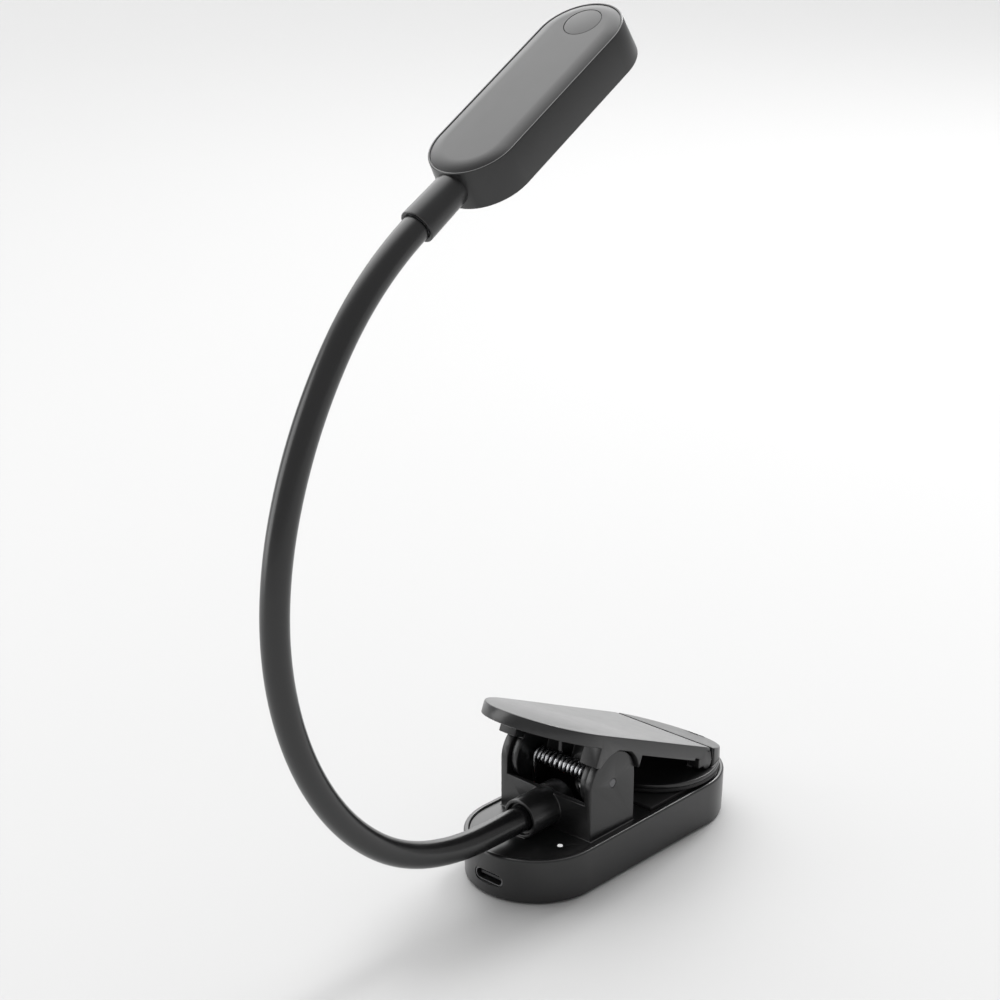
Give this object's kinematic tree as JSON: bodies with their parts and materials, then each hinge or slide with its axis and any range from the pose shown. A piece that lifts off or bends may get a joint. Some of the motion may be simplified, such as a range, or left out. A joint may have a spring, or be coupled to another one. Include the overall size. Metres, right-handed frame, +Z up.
{
  "type": "clip on reading lamp",
  "caption": "Rechargeable reading lamp: flat pill-shaped LED head on a black gooseneck, rising from a battery base with a sprung clip lever and rubber jaws.",
  "frame": {"origin": "centre of the foot pad's underside, where the lamp stands on a table", "axes": "+Z up; +X along the base from the charging socket to the clip's jaws; +Y across the base, to the left when looking along +X"},
  "size_m": [0.1535, 0.036, 0.2141],
  "materials": {
    "shell_black": "satin black, finely grained",
    "rubber_black": "smooth satin black",
    "bright_steel": "bright",
    "tube_steel": "plain drawn",
    "cell_foil": "dull foil",
    "board_green": "solder-masked",
    "board_white": "matt white",
    "chip_black": "moulded",
    "socket_steel": "stamped",
    "lead_red": "insulated wire",
    "light_pipe": "clear white",
    "led_yellow": "phosphor",
    "lens_white": "frosted white"
  },
  "bodies": {
    "base": {"base_shell": "shell_black", "foot_pad": "rubber_black", "base_screws": "bright_steel", "deck": "shell_black", "lower_jaw_pad": "rubber_black", "battery": "cell_foil", "main_board": "board_green", "board_parts": "chip_black", "usb_socket": "socket_steel", "usb_tongue": "chip_black", "charge_light": "light_pipe", "hinge_pin": "bright_steel", "torsion_spring": "bright_steel", "neck_clamp": "shell_black", "neck_ferrule_base": "tube_steel", "leads_base": "lead_red", "neck_skin_01": "rubber_black", "neck_core_01": "tube_steel"},
    "lever": {"lever": "shell_black", "jaw_pins": "bright_steel"},
    "jaw": {"jaw_foot": "shell_black", "upper_jaw_pad": "rubber_black"},
    "neck_link_02": {"neck_skin_02": "rubber_black", "neck_core_02": "tube_steel"},
    "neck_link_03": {"neck_skin_03": "rubber_black", "neck_core_03": "tube_steel"},
    "neck_link_04": {"neck_skin_04": "rubber_black", "neck_core_04": "tube_steel"},
    "neck_link_05": {"neck_skin_05": "rubber_black", "neck_core_05": "tube_steel"},
    "neck_link_06": {"neck_skin_06": "rubber_black", "neck_core_06": "tube_steel"},
    "neck_link_07": {"neck_skin_07": "rubber_black", "neck_core_07": "tube_steel"},
    "neck_link_08": {"neck_skin_08": "rubber_black", "neck_core_08": "tube_steel"},
    "neck_link_09": {"neck_skin_09": "rubber_black", "neck_core_09": "tube_steel"},
    "neck_link_10": {"neck_skin_10": "rubber_black", "neck_core_10": "tube_steel"},
    "neck_link_11": {"neck_skin_11": "rubber_black", "neck_core_11": "tube_steel"},
    "head": {"neck_skin_12": "rubber_black", "neck_core_12": "tube_steel", "neck_ferrule_head": "tube_steel", "head_shell": "shell_black", "head_cover": "shell_black", "led_board": "board_white", "leds": "led_yellow", "reflector": "board_white", "diffuser": "lens_white", "head_screws": "bright_steel", "switch": "chip_black", "leads_head": "lead_red"},
    "button": {"power_button": "shell_black"}
  },
  "joints": [
    {"name": "lever_hinge", "type": "hinge", "parent": "base", "child": "lever", "pos_m": [-0.012, 0, 0.025], "axis": [0, -1, 0], "range_deg": [0, 22], "stiffness_Nm_per_rad": 0.12, "springref_deg": -57.3, "deforming": ["torsion_spring"]},
    {"name": "jaw_pivot", "type": "hinge", "parent": "lever", "child": "jaw", "pos_m": [0.0252, 0, 0.0174], "axis": [0, 1, 0], "range_deg": [0, 22]},
    {"name": "neck_joint_01", "type": "hinge", "parent": "base", "child": "neck_link_02", "pos_m": [-0.04323, 0, 0.01677], "axis": [0, 1, 0], "range_deg": [-10, 10]},
    {"name": "neck_joint_02", "type": "hinge", "parent": "neck_link_02", "child": "neck_link_03", "pos_m": [-0.06214, 0, 0.01985], "axis": [-0.3007, 0, -0.9537], "range_deg": [-18, 18]},
    {"name": "neck_joint_03", "type": "hinge", "parent": "neck_link_03", "child": "neck_link_04", "pos_m": [-0.07907, 0, 0.02875], "axis": [0, 1, 0], "range_deg": [-15, 12]},
    {"name": "neck_joint_04", "type": "hinge", "parent": "neck_link_04", "child": "neck_link_05", "pos_m": [-0.09239, 0, 0.04254], "axis": [-0.809, 0, -0.5878], "range_deg": [-18, 18]},
    {"name": "neck_joint_05", "type": "hinge", "parent": "neck_link_05", "child": "neck_link_06", "pos_m": [-0.10176, 0, 0.05928], "axis": [0, 1, 0], "range_deg": [-15, 12]},
    {"name": "neck_joint_06", "type": "hinge", "parent": "neck_link_06", "child": "neck_link_07", "pos_m": [-0.10705, 0, 0.07773], "axis": [-0.9863, 0, -0.165], "range_deg": [-18, 18]},
    {"name": "neck_joint_07", "type": "hinge", "parent": "neck_link_07", "child": "neck_link_08", "pos_m": [-0.10797, 0, 0.09689], "axis": [0, 1, 0], "range_deg": [-15, 12]},
    {"name": "neck_joint_08", "type": "hinge", "parent": "neck_link_08", "child": "neck_link_09", "pos_m": [-0.10464, 0, 0.11579], "axis": [-0.9613, 0, 0.2756], "range_deg": [-18, 18]},
    {"name": "neck_joint_09", "type": "hinge", "parent": "neck_link_09", "child": "neck_link_10", "pos_m": [-0.09775, 0, 0.13372], "axis": [0, 1, 0], "range_deg": [-15, 12]},
    {"name": "neck_joint_10", "type": "hinge", "parent": "neck_link_10", "child": "neck_link_11", "pos_m": [-0.08786, 0, 0.15019], "axis": [-0.809, 0, 0.5878], "range_deg": [-18, 18]},
    {"name": "neck_joint_11", "type": "hinge", "parent": "neck_link_11", "child": "head", "pos_m": [-0.07478, 0, 0.16421], "axis": [0, 1, 0], "range_deg": [-15, 12]},
    {"name": "button_press", "type": "slide", "parent": "head", "child": "button", "axis": [0.5075, 0, -0.8616], "range_m": [0, 0.0004], "stiffness_N_per_m": 300, "springref_m": -0.001}
  ],
  "couplings": [
    {"joint": "jaw_pivot", "follows": "lever_hinge", "ratio": 1}
  ]
}
